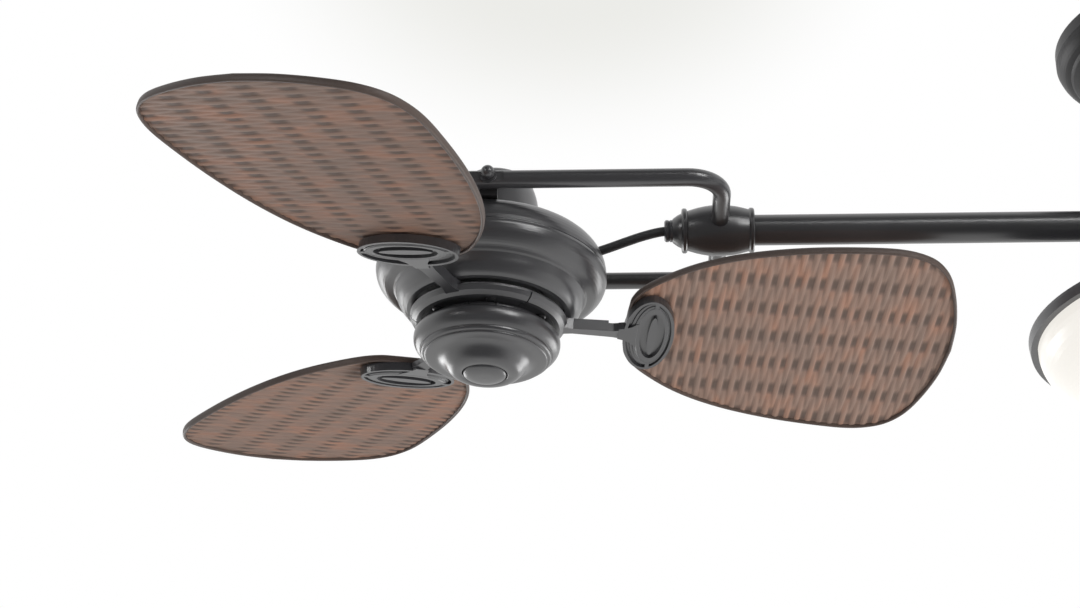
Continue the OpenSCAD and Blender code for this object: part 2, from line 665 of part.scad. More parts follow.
// Lower half of the cover: bulges out, rounds under to a step and ends in a turned-in rim
module motor_housing() {
    seam_gap = 0.4;
    lip = 3;
    lip_wall = 1.2;
    edge = housing_r - 0.5;
    lip_r = edge - shell_wall - 0.4;
    outer = concat([[edge, -seam_drop - seam_gap]],
        curve([[edge, -seam_drop - seam_gap - 0.4], [housing_r, -seam_drop - 4.5],
            [housing_r - 2.2, -seam_drop - 11.5], [step_r + 8.6, -step_drop + 2.2],
            [step_r + 1.6, -step_drop]], 4),
        curve([[step_r, -step_drop - 1.2], [step_r - 1, -step_drop - 4],
            [step_r - 3, -step_drop - 9.5], [rim_r + 1.5, -rim_drop + 2.2],
            [rim_r - 2, -rim_drop]], 4), [[throat_r, -rim_drop]]);
    inner = concat([[throat_r, -rim_drop + shell_wall], [rim_r - 2.6, -rim_drop + shell_wall]],
        curve([[rim_r - 0.6, -rim_drop + 3.2], [step_r - 4.6, -step_drop - 9],
            [step_r - 2.6, -step_drop - 3], [step_r - 1.6, -step_drop + 0.6]], 4),
        curve([[step_r + 1, -step_drop + 1.6], [step_r + 7.6, -step_drop + 3.8],
            [housing_r - 3.9, -seam_drop - 11], [housing_r - 2, -seam_drop - 4.5]], 4),
        [[lip_r, -seam_drop - seam_gap - 1.2], [lip_r - lip_wall, -seam_drop - seam_gap - 1.2],
            [lip_r - lip_wall, -seam_drop + lip], [lip_r, -seam_drop + lip],
            [lip_r, -seam_drop - seam_gap]]);
    color(metal) turned(concat(outer, inner));
}

// Hollow fixed shaft and its nut, which clamp the strap and the upper shell together
module motor_shaft() {
    collar_top = -top_drop - shell_wall;
    stud_top = -top_drop + strap_t + nut_h + 3;
    color(steel) {
        difference() {
            union() {
                translate([0, 0, -plate_bottom])
                    cylinder(r = shaft_r, h = plate_bottom + collar_top);
                translate([0, 0, collar_top - collar_h]) cylinder(r = 14, h = collar_h);
                translate([0, 0, collar_top - 1]) cylinder(r = stud_r, h = stud_top - collar_top + 1);
            }
            translate([0, 0, -plate_bottom - cut]) cylinder(r = stud_r - 1.8, h = 2 * plate_bottom);
        }
        translate([0, 0, -top_drop + strap_t]) difference() {
            cylinder(r = stud_r + 4.5, h = nut_h, $fn = 6);
            translate([0, 0, -cut]) cylinder(r = stud_r + fit, h = nut_h + 2 * cut);
        }
    }
}

// Laminated core with winding slots
module stator_core() {
    slots = 18;
    color("#77797c") translate([0, 0, -core_top - core_h]) difference() {
        cylinder(r = core_r, h = core_h);
        translate([0, 0, -cut]) cylinder(r = shaft_r + fit, h = core_h + 2 * cut);
        for (i = [0 : slots - 1]) rotate([0, 0, 360 / slots * i])
            translate([core_r - 7, -1.2, -cut]) cube([10, 2.4, core_h + 2 * cut]);
        for (i = [0 : 5]) rotate([0, 0, 60 * i]) translate([19, 0, -cut])
            cylinder(r = 5, h = core_h + 2 * cut);
    }
}

// Copper coil rings on both faces of the core
module windings() {
    color(copper) for (z = [-core_top + 4.6, -core_top - core_h - 4.6]) translate([0, 0, z])
        rotate_extrude() translate([39, 0]) {
            translate([-4, 0]) circle(r = 4.5);
            translate([4, 0]) circle(r = 4.5);
            translate([-4, -4.5]) square([8, 9]);
        }
}

// Outer rotor: closed drum, neck and flywheel in one turned piece
module rotor() {
    bell = rotor_wall_r;
    pocket = bearing_r + fit;
    hub = bearing_r + hub_wall;
    bore = shaft_r + 2;
    inside = core_r + air_gap;
    color("#8a8c8f") difference() {
    turned([[bore, -rotor_top], [bell, -rotor_top], [bell, -rotor_bottom],
        [neck_r, -rotor_bottom], [neck_r, -ring_drop + wheel_h],
        [ring_r - 5, -ring_drop + wheel_h], [ring_r - 5, -ring_drop], [bore, -ring_drop],
        [bore, -rotor_bottom + rotor_disc], [pocket, -rotor_bottom + rotor_disc],
        [pocket, -rotor_bottom + rotor_disc + bearing_h],
        [hub, -rotor_bottom + rotor_disc + bearing_h], [hub, -rotor_bottom + rotor_disc],
        [bell - 2.5, -rotor_bottom + rotor_disc], [bell - 2.5, -core_top - core_h - 4],
        [inside, -core_top - core_h - 1], [inside, -core_top + 1], [bell - 2.5, -core_top + 4],
        [bell - 2.5, -rotor_top - rotor_disc], [hub, -rotor_top - rotor_disc],
        [hub, -rotor_top - rotor_disc - bearing_h],
        [pocket, -rotor_top - rotor_disc - bearing_h], [pocket, -rotor_top - rotor_disc],
        [bore, -rotor_top - rotor_disc]]);
        for (i = [0 : blade_count - 1]) for (a = [-30, 30])
            rotate([0, 0, blade_start + spoke * i + a]) translate([foot_screw_r, 0, -ring_drop - cut])
                cylinder(r = 2.5, h = wheel_h - 0.5 + cut);
    }
}

// Two ball bearings on the fixed shaft
module bearings() {
    color(steel) for (z = [-rotor_top - rotor_disc - bearing_h, -rotor_bottom + rotor_disc])
        translate([0, 0, z]) turned([[shaft_r + run_gap, 0], [bearing_r, 0],
            [bearing_r, bearing_h], [bearing_r - 3, bearing_h], [bearing_r - 3, bearing_h - 0.6],
            [shaft_r + 2.6, bearing_h - 0.6], [shaft_r + 2.6, bearing_h],
            [shaft_r + run_gap, bearing_h]]);
}

// One blade iron: a third of the ring, an arm and an oval medallion under the blade
module blade_iron() {
    under = -blade_rim_t / 2;
    base = under - medal_h;
    ring_gap = 1;
    arm_top = -rim_drop - 0.8;
    half = iron_w / 2;
    end_half = iron_w_end / 2;
    neck_at = medal_at - medal_r;
    difference() {
        rotate([0, 0, -spoke / 2 + ring_gap / 2]) rotate_extrude(angle = spoke - ring_gap)
            polygon([[foot_in_r, -ring_drop], [ring_r, -ring_drop],
                [ring_r + 0.1, -ring_drop - 1.4], [ring_r - 1.8, -ring_drop - 4.6],
                [ring_r - 5.4, -ring_drop - ring_h], [ring_r - 9, -ring_drop - ring_h],
                [ring_r - 10.5, -foot_bottom], [foot_in_r, -foot_bottom]]);
        for (a = [-30, 30]) rotate([0, 0, a]) translate([foot_screw_r, 0, -foot_bottom - 2 * cut])
            cylinder(r = 2.5, h = 12);
    }
    // Arm, planed to run into the medallion
    difference() {
        translate([0, 0, arm_top - iron_h]) linear_extrude(height = iron_h)
            polygon([[ring_r - 4, -half - 2], [ring_r + 5, -half], [neck_at - 8, -end_half + 1.6],
                [neck_at - 1, -end_half], [neck_at + 3, 0], [neck_at - 1, end_half],
                [neck_at - 8, end_half - 1.6], [ring_r + 5, half], [ring_r - 4, half + 2]]);
        translate([0, 0, -blade_drop]) rotate([-blade_pitch, 0, 0]) {
            translate([neck_at - 12, -60, under]) cube([60, 120, 30]);
            translate([0, 60, 0]) rotate([90, 0, 0]) linear_extrude(height = 120)
                polygon([[neck_at - 16, base - 20], [neck_at - 16, base - 2],
                    [neck_at - 3, base], [neck_at + 20, base], [neck_at + 20, base - 20]]);
        }
    }
    translate([0, 0, -blade_drop]) rotate([-blade_pitch, 0, 0]) medallion(under, base, neck_at);
}

// Oval seat for a blade: rim, moat and a plateau with a ribbed recess
module medallion(under, base, neck_at) {
    plate_t = 2;
    wall = 2.5;
    pad_at = medal_at + 3;
    end_half = iron_w_end / 2;
    difference() {
        union() {
            translate([medal_at, 0, under - plate_t]) linear_extrude(height = plate_t)
                polygon(ellipse_points(medal_r, medal_half));
            translate([medal_at, 0, base]) linear_extrude(height = medal_h) difference() {
                polygon(ellipse_points(medal_r, medal_half));
                polygon(ellipse_points(medal_r - wall, medal_half - wall));
            }
            for (k = [0 : 2]) translate([pad_at, 0, base + 1.6 * k])
                linear_extrude(height = medal_h - 1.6 * k)
                    polygon(ellipse_points(medal_r - 8.6 + 1.2 * k, medal_half - 8.6 + 1.2 * k, 36));
            translate([0, 0, base]) linear_extrude(height = medal_h)
                polygon([[neck_at - 4, -end_half + 0.8], [neck_at + 1, -end_half - 0.4],
                    [neck_at + 6, -end_half - 3], [neck_at + 10, -end_half - 7],
                    [neck_at + 14, -end_half - 8], [neck_at + 14, end_half + 8],
                    [neck_at + 10, end_half + 7], [neck_at + 6, end_half + 3],
                    [neck_at + 1, end_half + 0.4], [neck_at - 4, end_half - 0.8]]);
            translate([pad_at - 1.6, 0, base]) for (s = [-1, 1]) scale([1, s, 1])
                translate([0, medal_half - 9, 0]) cube([3.2, 8, medal_h]);
        }
        translate([pad_at, 0, base - cut]) linear_extrude(height = 2.5 + cut) difference() {
            polygon(ellipse_points(medal_r - 10.6, medal_half - 15.5, 36));
            polygon(ellipse_points(3.6, medal_half - 20, 24));
        }
        for (p = blade_screw_at) translate([p[0], p[1], under - 4]) cylinder(r = 2.1, h = 4 + cut);
    }
}
blade_screw_at = [[medal_at - 3, -22], [medal_at - 3, 22], [medal_at + 10, 0]];
module blade_irons() {
    color(metal) for (i = [0 : blade_count - 1]) rotate([0, 0, blade_start + spoke * i])
        blade_iron();
}

// Leaf-shaped blades: a rim round a thinner woven field
module blades() {
    color(wicker) for (i = [0 : blade_count - 1]) on_blade(i) difference() {
        translate([0, 0, -blade_rim_t / 2]) linear_extrude(height = blade_rim_t)
            polygon(blade_outline);
        translate([0, 0, blade_web_t / 2]) linear_extrude(height = blade_rim_t)
            polygon(blade_field);
        difference() {
            translate([0, 0, -blade_web_t / 2 - blade_rim_t]) linear_extrude(height = blade_rim_t)
                polygon(blade_field);
            translate([medal_at, 0, -blade_rim_t]) linear_extrude(height = blade_rim_t)
                polygon(ellipse_points(medal_r + 1, medal_half + 1));
        }
        for (p = blade_screw_at) translate([p[0], p[1], -blade_rim_t])
            cylinder(r = 2.3, h = 2 * blade_rim_t);
    }
}

// Screws that hold the irons to the flywheel, two to a foot
module iron_screws() {
    color(dark_metal) for (i = [0 : blade_count - 1]) for (a = [-30, 30])
        rotate([0, 0, blade_start + spoke * i + a]) translate([foot_screw_r, 0, 0])
            screw_up(2.4, 4, -foot_bottom, foot_bottom - ring_drop + wheel_h - 1);
}
// Screw with its head hanging below z and its shank above it
module screw_up(r, head_r, z, reach) {
    translate([0, 0, z - 0.05]) cylinder(r = r, h = reach);
    turned([[0, z - 2.2], [head_r * 0.7, z - 2.1], [head_r, z - 1.2], [head_r, z - 0.05],
        [0, z - 0.05]]);
}

// Screws that hold the blades to the irons, from above
module blade_screws() {
    top = blade_web_t / 2;
    color(dark_metal) for (i = [0 : blade_count - 1]) on_blade(i) for (p = blade_screw_at)
        translate([p[0], p[1], 0]) {
            translate([0, 0, -blade_rim_t / 2 - 3.4])
                cylinder(r = 2, h = blade_rim_t / 2 + 3.4 + top + 0.2);
            turned([[0, top + 0.05], [5, top + 0.05], [4.6, top + 1.2], [2.6, top + 2.3],
                [0, top + 2.5]]);
        }
}

// Plate on the shaft's lower end that carries the switch cup
module switch_plate() {
    color(dark_metal) difference() {
        turned([[shaft_r + fit, -plate_top], [plate_r, -plate_top], [plate_r, -plate_bottom],
            [plate_r - 2.5, -plate_bottom], [plate_r - 2.5, -plate_top - 3],
            [16, -plate_top - 3], [16, -plate_bottom], [shaft_r + fit, -plate_bottom]]);
        for (a = cup_screw_turns) rotate([0, 0, a]) translate([0, 0, -cup_screw_drop])
            bar_x(1.4, plate_r - 6, plate_r + cut);
        for (a = [45, 225]) rotate([0, 0, a]) translate([32, 0, -plate_bottom - cut])
            cylinder(r = 6, h = plate_bottom);
    }
}
cup_screw_turns = [for (k = [0 : 2]) for (a = [-14, 14]) -92 + 120 * k + a];

// Cup below the blades, with a narrow neck, a bead and a dished face
module switch_cup() {
    neck = plate_r + 0.1 + shell_wall;
    side_line = concat([[neck, -collar_top], [neck, -cup_drop + 1.4]],
        curve([[neck + 0.8, -cup_drop + 0.7], [cup_r - 1, -cup_drop + 0.1],
            [cup_r + 0.6, -cup_drop - 1.6], [cup_r + 1.1, -cup_drop - 4.6],
            [cup_r - 0.1, -cup_drop - 9.2], [cup_r - 3.8, -cup_drop - 13.6],
            [bead_r + 1.5, -cup_drop - 16.2]], 4),
        curve([[bead_r + 0.9, -cup_drop - 17.8], [bead_r - 0.6, -cup_drop - 18.6],
            [bead_r - 2.4, -cup_drop - 18.4]], 4),
        curve([[bead_r - 3.6, -cup_drop - 19.8], [bead_r - 6.5, -cup_drop - 23.2],
            [bead_r - 12, -cup_drop - 26.2], [plug_r + 14, -cup_drop - 27.8],
            [plug_r + 7.5, -cup_drop - 29.4], [plug_r + 4.5, -cup_drop - 31.8],
            [plug_r + 2.2, -cup_drop - 33.8], [plug_r + 0.1, -cup_drop - 33.4]], 4));
    color(metal) difference() {
        turned(walled(side_line, -shell_wall));
        for (a = cup_screw_turns) rotate([0, 0, a]) translate([0, 0, -cup_screw_drop])
            bar_x(1.5, plate_r - cut, neck + cut);
    }
}

// Small screws through the cup's neck into the plate
module cup_screws() {
    neck = plate_r + 0.1 + shell_wall;
    color(steel) for (a = cup_screw_turns) rotate([0, 0, a]) translate([0, 0, -cup_screw_drop]) {
        bar_x(1.3, plate_r - 5, neck + 0.5);
        turned_x([[0, neck + 0.05], [2.1, neck + 0.05], [1.8, neck + 1.1], [0, neck + 1.5]]);
    }
}

// Domed plug in the cup's face
module cup_plug() {
    z = -cup_drop - 33.4;
    color(metal) turned(concat([[0, z + 6], [plug_r - 2, z + 6], [plug_r - 2, z + 2.4],
        [plug_r, z + 1.4]], curve([[plug_r, z], [plug_r - 1, z - 1.4], [plug_r - 4, z - 2.9],
            [plug_r - 9, z - 3.9], [0, z - 4.3]], 4)));
}

ceiling_bracket();
canopy();
canopy_screws();
hanger_ball();
hanger_pin();
receiver();
downrod();
middle_hub();
hub_set_screws();
arms();
fork_hubs();
gland_nuts();
fork_tines();
light_rod();
light_housing();
light_pan();
lamp_holders();
bulbs();
glass_bowl();
finial();

at_side(LEFT) lead();  // left_lead
in_head(LEFT) knob(-1);  // left_front_knob
in_head(LEFT) knob(1);  // left_rear_knob
in_head(LEFT) tilt_strap();  // left_tilt_strap
in_head(LEFT) wiring_cap();  // left_wiring_cap
in_head(LEFT) upper_shell();  // left_upper_shell
in_head(LEFT) motor_housing();  // left_motor_housing
in_head(LEFT) motor_shaft();  // left_motor_shaft
in_head(LEFT) stator_core();  // left_stator_core
in_head(LEFT) windings();  // left_windings
in_head(LEFT) rotor();  // left_rotor
in_head(LEFT) bearings();  // left_bearings
in_head(LEFT) blade_irons();  // left_blade_irons
in_head(LEFT) blades();  // left_blades
in_head(LEFT) iron_screws();  // left_iron_screws
in_head(LEFT) blade_screws();  // left_blade_screws
in_head(LEFT) switch_plate();  // left_switch_plate
in_head(LEFT) switch_cup();  // left_switch_cup
in_head(LEFT) cup_screws();  // left_cup_screws
in_head(LEFT) cup_plug();  // left_cup_plug

at_side(RIGHT) lead();  // right_lead
in_head(RIGHT) knob(1);  // right_front_knob
in_head(RIGHT) knob(-1);  // right_rear_knob
in_head(RIGHT) tilt_strap();  // right_tilt_strap
in_head(RIGHT) wiring_cap();  // right_wiring_cap
in_head(RIGHT) upper_shell();  // right_upper_shell
in_head(RIGHT) motor_housing();  // right_motor_housing
in_head(RIGHT) motor_shaft();  // right_motor_shaft
in_head(RIGHT) stator_core();  // right_stator_core
in_head(RIGHT) windings();  // right_windings
in_head(RIGHT) rotor();  // right_rotor
in_head(RIGHT) bearings();  // right_bearings
in_head(RIGHT) blade_irons();  // right_blade_irons
in_head(RIGHT) blades();  // right_blades
in_head(RIGHT) iron_screws();  // right_iron_screws
in_head(RIGHT) blade_screws();  // right_blade_screws
in_head(RIGHT) switch_plate();  // right_switch_plate
in_head(RIGHT) switch_cup();  // right_switch_cup
in_head(RIGHT) cup_screws();  // right_cup_screws
in_head(RIGHT) cup_plug();  // right_cup_plug
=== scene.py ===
import json
import math

import bpy
import numpy as np
from mathutils import Matrix


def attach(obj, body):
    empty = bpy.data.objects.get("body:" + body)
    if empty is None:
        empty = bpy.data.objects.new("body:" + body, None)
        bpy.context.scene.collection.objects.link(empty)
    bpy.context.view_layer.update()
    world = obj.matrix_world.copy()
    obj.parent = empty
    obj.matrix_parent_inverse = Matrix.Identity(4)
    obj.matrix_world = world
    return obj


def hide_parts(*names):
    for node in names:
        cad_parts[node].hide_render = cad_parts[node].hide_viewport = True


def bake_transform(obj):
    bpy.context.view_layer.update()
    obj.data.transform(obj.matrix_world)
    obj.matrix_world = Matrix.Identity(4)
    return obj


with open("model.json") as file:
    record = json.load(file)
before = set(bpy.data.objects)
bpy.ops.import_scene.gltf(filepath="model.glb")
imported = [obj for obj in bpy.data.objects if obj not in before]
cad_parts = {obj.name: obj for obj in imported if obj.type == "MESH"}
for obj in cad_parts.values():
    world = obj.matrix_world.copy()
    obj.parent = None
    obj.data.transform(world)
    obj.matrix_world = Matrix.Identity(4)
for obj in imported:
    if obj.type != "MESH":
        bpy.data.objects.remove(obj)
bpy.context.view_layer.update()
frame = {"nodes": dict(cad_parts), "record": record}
nodes = frame["nodes"]
scene = bpy.context.scene
scene.view_settings.view_transform = "Standard"
print("frame loaded:", len(nodes), "solids")

# Where the photograph was taken from, in metres and degrees, with the lens and its picture width in mm
photoView = {"spot": (-0.4776, -1.5616, -1.0463), "yaw": -2.12, "pitch": 27.267, "roll": 0.376,
             "lens": 73.333, "sensor": 36, "clip": (0.01, 60)}


def makeCamera(view):
    # looks along (sin yaw cos pitch, cos yaw cos pitch, sin pitch), rolled about that line
    yaw, pitch, roll = (math.radians(view[k]) for k in ("yaw", "pitch", "roll"))
    ahead = np.array([math.sin(yaw) * math.cos(pitch), math.cos(yaw) * math.cos(pitch),
                      math.sin(pitch)])
    level = np.array([math.cos(yaw), -math.sin(yaw), 0.0])
    above = np.cross(level, ahead)
    right = level * math.cos(roll) + above * math.sin(roll)
    up = above * math.cos(roll) - level * math.sin(roll)
    camera = bpy.data.objects.new("photoCamera", bpy.data.cameras.new("photoCamera"))
    camera.data.lens = view["lens"]
    camera.data.sensor_width = view["sensor"]
    camera.data.clip_start, camera.data.clip_end = view["clip"]
    turn = Matrix((right, up, -ahead)).transposed().to_4x4()
    camera.matrix_world = Matrix.Translation(view["spot"]) @ turn
    scene.collection.objects.link(camera)
    scene.camera = camera


makeCamera(photoView)

# Where the heads hang: the tilt pivot in metres, and which way the head faces and leans in degrees
heads = {"left": {"pivot": (-0.573, 0, -0.1756), "turn": 0},
         "right": {"pivot": (0.573, 0, -0.1756), "turn": 180}}
headLean = 2.5


def turnZ(angle):
    c, s = math.cos(math.radians(angle)), math.sin(math.radians(angle))
    return np.array([[c, -s, 0], [s, c, 0], [0, 0, 1]])


def turnY(angle):
    c, s = math.cos(math.radians(angle)), math.sin(math.radians(angle))
    return np.array([[c, 0, s], [0, 1, 0], [-s, 0, c]])


def turnX(angle):
    c, s = math.cos(math.radians(angle)), math.sin(math.radians(angle))
    return np.array([[1, 0, 0], [0, c, -s], [0, s, c]])


def intoHead(points, side, lean=headLean):
    # millimetres about the pivot -> metres in the fan's frame: leaned, then turned, then moved
    head = heads[side]
    return points @ (turnZ(head["turn"]) @ turnY(lean)).T / 1000 + np.array(head["pivot"])


def onBlade(points, azimuth, drop=74.6, pitch=11.2):
    # millimetres along, across and square to a blade -> millimetres about the pivot
    return points @ (turnZ(azimuth) @ turnX(-pitch)).T - np.array([0, 0, drop])


def curvePoints(knots, steps):
    # Catmull-Rom curve through the knots, ends held
    p = np.asarray(knots, float)
    p = np.vstack([p[:1], p, p[-1:]])
    t = np.linspace(0, 1, steps, endpoint=False)[None, :, None]
    a, b, c, d = (p[i:len(p) - 3 + i, None, :] for i in range(4))
    body = 0.5 * (2 * b + (c - a) * t + (2 * a - 5 * b + 4 * c - d) * t ** 2
                  + (3 * b - a - 3 * c + d) * t ** 3)
    return np.vstack([body.reshape(-1, p.shape[1]), p[-1:]])


def fullTurn(sides):
    return np.linspace(0, 2 * np.pi, sides, endpoint=False)


def gridFaces(rows, columns, closed=False):
    # quads of a grid of points, closed round its columns if asked
    r = np.arange(rows - 1)[:, None]
    c = np.arange(columns if closed else columns - 1)[None, :]
    nextC = (c + 1) % columns
    quads = np.stack([r * columns + c, r * columns + nextC, (r + 1) * columns + nextC,
                      (r + 1) * columns + c], -1)
    return quads.reshape(-1, 4)


def ringFaces(rows, columns):
    # quads of a grid closed both ways: the row after the last is the first again
    return gridFaces(rows + 1, columns, closed=True) % (rows * columns)


def makePiece(name, points, faces, smooth=True):
    mesh = bpy.data.meshes.new(name)
    mesh.from_pydata(points.tolist(), [], faces if isinstance(faces, list) else faces.tolist())
    mesh.polygons.foreach_set("use_smooth", np.full(len(mesh.polygons), smooth))
    mesh.update()
    piece = bpy.data.objects.new(name, mesh)
    scene.collection.objects.link(piece)
    return piece


def addNode(tree, kind, inputs=(), **settings):
    # a shader node: a socket among its inputs is linked, any other value is set
    node = tree.nodes.new(kind)
    for key, value in settings.items():
        setattr(node, key, value)
    for key, value in dict(inputs).items():
        if isinstance(value, bpy.types.NodeSocket):
            tree.links.new(value, node.inputs[key])
        else:
            node.inputs[key].default_value = value
    return node


# The nodes used most, each giving back the socket that the next one reads
def mathNode(tree, operation, *values):
    return addNode(tree, "ShaderNodeMath", dict(enumerate(values)), operation=operation).outputs[0]


def scaledNode(tree, vector, factor):
    return addNode(tree, "ShaderNodeVectorMath", {0: vector, "Scale": factor}, operation="SCALE").outputs[0]


def lengthNode(tree, vector):
    return addNode(tree, "ShaderNodeVectorMath", {0: vector}, operation="LENGTH").outputs["Value"]


def movedNode(tree, vector, location=(0, 0, 0), scale=(1, 1, 1)):
    return addNode(tree, "ShaderNodeMapping", {"Vector": vector, "Location": location,
                                               "Scale": scale}).outputs[0]


def noiseNode(tree, where, scale, detail, roughness=0.5):
    return addNode(tree, "ShaderNodeTexNoise", {"Vector": where, "Scale": scale, "Detail": detail,
                                                "Roughness": roughness}).outputs["Fac"]


def rangeNode(tree, value, span, becomes, **settings):
    return addNode(tree, "ShaderNodeMapRange", dict(enumerate((value, *span, *becomes))),
                   **settings).outputs[0]


def rampNode(tree, value, start, end, *between):
    # each stop is its place on the ramp and its colour
    ramp = addNode(tree, "ShaderNodeValToRGB", {0: value})
    for element, (place, colour) in zip(ramp.color_ramp.elements, (start, end)):
        element.position, element.color = place, (*colour, 1)
    for place, colour in between:
        ramp.color_ramp.elements.new(place).color = (*colour, 1)
    return ramp.outputs[0]


def newMaterial(name):
    material = bpy.data.materials.new(name)
    material.use_nodes = True
    tree = material.node_tree
    return material, tree, tree.nodes["Principled BSDF"]


def newGroup(name, inputs, outputs):
    group = bpy.data.node_groups.new(name, "ShaderNodeTree")
    for socket, kind, value in inputs:
        made = group.interface.new_socket(name=socket, in_out="INPUT", socket_type=kind)
        made.default_value = value
    for socket, kind in outputs:
        group.interface.new_socket(name=socket, in_out="OUTPUT", socket_type=kind)
    return group, group.nodes.new("NodeGroupInput"), group.nodes.new("NodeGroupOutput")


# Sprayed paint: scale and detail of its noises, their share in the roughness, depth of the peel in metres
paintLook = {"slow": (14, 4), "fine": (900, 2), "peel": (380, 1.5), "roughShare": 0.6, "peelDepth": 0.0004}


def paintGroup(look):
    # slow tone drift, a fine speckle, and a faint orange peel
    group, given, out = newGroup(
        "sprayedPaint",
        [("Colour", "NodeSocketColor", (0.05, 0.05, 0.055, 1)), ("Roughness", "NodeSocketFloat", 0.4),
         ("Drift", "NodeSocketFloat", 0.12), ("Speckle", "NodeSocketFloat", 0.1)],
        [("Colour", "NodeSocketColor"), ("Roughness", "NodeSocketFloat"), ("Height", "NodeSocketFloat")])
    where = addNode(group, "ShaderNodeTexCoord").outputs["Object"]
    slow, fine, peel = (noiseNode(group, where, *look[key]) for key in ("slow", "fine", "peel"))
    # both = drift (slow - 0.5) + speckle (fine - 0.5), and the colour is scaled by 1 + 2 both
    driftBy = mathNode(group, "MULTIPLY", mathNode(group, "SUBTRACT", slow, 0.5), given.outputs["Drift"])
    speckBy = mathNode(group, "MULTIPLY", mathNode(group, "SUBTRACT", fine, 0.5), given.outputs["Speckle"])
    both = mathNode(group, "ADD", driftBy, speckBy)
    shade = scaledNode(group, given.outputs["Colour"], mathNode(group, "MULTIPLY_ADD", both, 2.0, 1.0))
    rough = mathNode(group, "MULTIPLY_ADD", both, look["roughShare"], given.outputs["Roughness"])
    for name, socket in (("Colour", shade), ("Roughness", rough), ("Height", peel)):
        group.links.new(socket, out.inputs[name])
    return group


sprayedPaint = paintGroup(paintLook)


def paintedMetal(name, colour, roughness, metallic=0.0, drift=0.12, speckle=0.1, bump=0.05, index=1.5):
    # paint, bare metal or plastic: index is the refractive index, which sets how much it mirrors
    material, tree, shader = newMaterial(name)
    paint = addNode(tree, "ShaderNodeGroup", {"Colour": (*colour, 1), "Roughness": roughness,
                                              "Drift": drift, "Speckle": speckle}, node_tree=sprayedPaint)
    relief = addNode(tree, "ShaderNodeBump", {"Height": paint.outputs["Height"], "Strength": bump,
                                              "Distance": paintLook["peelDepth"]})
    tree.links.new(paint.outputs["Colour"], shader.inputs["Base Color"])
    tree.links.new(paint.outputs["Roughness"], shader.inputs["Roughness"])
    tree.links.new(relief.outputs["Normal"], shader.inputs["Normal"])
    shader.inputs["Metallic"].default_value = metallic
    shader.inputs["IOR"].default_value = index
    return material


# Opal glass: radii in metres between which it warms from the inner to the outer colour, and its clouding
opalLook = {"radii": (0.02, 0.137), "inner": (1.0, 0.98, 0.945), "outer": (1.0, 0.965, 0.905),
            "cloud": (22, 3), "cloudShare": 0.25, "skin": 0.2, "roughness": 0.25}


def opalMaterial(name, glow, look):
    # lit from behind: the glow is a shade warmer toward the rim, and the skin itself stays dim
    material, tree, shader = newMaterial(name)
    where = addNode(tree, "ShaderNodeTexCoord").outputs["Object"]
    parts = addNode(tree, "ShaderNodeSeparateXYZ", {0: where})
    flat = addNode(tree, "ShaderNodeCombineXYZ", {0: parts.outputs[0], 1: parts.outputs[1]})
    share = rangeNode(tree, lengthNode(tree, flat.outputs[0]), look["radii"], (0.0, 1.0))
    mixed = mathNode(tree, "MULTIPLY_ADD", noiseNode(tree, where, *look["cloud"]), look["cloudShare"], share)
    tint = rampNode(tree, mixed, (0, look["inner"]), (1, look["outer"]))
    tree.links.new(tint, shader.inputs["Emission Color"])
    tree.links.new(scaledNode(tree, tint, look["skin"]), shader.inputs["Base Color"])
    shader.inputs["Emission Strength"].default_value = glow
    shader.inputs["Roughness"].default_value = look["roughness"]
    return material


# Cane: stops of its colour ramp, the dark brown of its painted shade, how far strands and patches reach
# along it, and the fibres of a strand
caneLook = {"pale": (0.2, (0.289, 0.204, 0.166)), "warm": (0.95, (0.410, 0.228, 0.162)),
            "middle": (0.55, (0.330, 0.219, 0.173)), "under": (0.145, 0.105, 0.088),
            "strandShare": 0.3, "patchShare": 0.75, "patchGrid": (6, 2.2, 1), "patch": (1, 2),
            "fibreGrid": (90, 4, 1), "fibre": (1, 3, 0.6), "fibreTone": (0.88, 1.1), "noiseSpan": (0.3, 0.7),
            "relief": 0.2, "reliefDepth": 0.0006, "roughness": 0.55, "specular": 0.12}


def wovenCane(look):
    # strands follow the blade's own UV: u along the blade, v across it, one unit is 100 mm
    material, tree, shader = newMaterial("wovenCane")
    uv = addNode(tree, "ShaderNodeUVMap", uv_map="blade").outputs[0]
    paintedShade = addNode(tree, "ShaderNodeAttribute", attribute_name="paintedShade").outputs["Fac"]
    tone = addNode(tree, "ShaderNodeAttribute", attribute_name="strand").outputs["Fac"]
    fibre = noiseNode(tree, movedNode(tree, uv, scale=look["fibreGrid"]), *look["fibre"])
    patches = noiseNode(tree, movedNode(tree, uv, scale=look["patchGrid"]), *look["patch"])
    spread = rangeNode(tree, patches, look["noiseSpan"], (0.0, look["patchShare"]))
    mixed = mathNode(tree, "MULTIPLY_ADD", tone, look["strandShare"], spread)
    hue = rampNode(tree, mixed, look["pale"], look["warm"], look["middle"])
    fibred = scaledNode(tree, hue, rangeNode(tree, fibre, look["noiseSpan"], look["fibreTone"]))
    # painted shade: the strands darken toward a dark brown where they run under a stake and along their
    # edges
    shaded = addNode(tree, "ShaderNodeMix", {"Factor": paintedShade, 6: fibred, 7: (*look["under"], 1)},
                     data_type="RGBA")
    relief = addNode(tree, "ShaderNodeBump", {"Height": fibre, "Strength": look["relief"],
                                              "Distance": look["reliefDepth"]})
    tree.links.new(shaded.outputs[2], shader.inputs["Base Color"])
    tree.links.new(relief.outputs[0], shader.inputs["Normal"])
    shader.inputs["Roughness"].default_value = look["roughness"]
    shader.inputs["Specular IOR Level"].default_value = look["specular"]
    return material


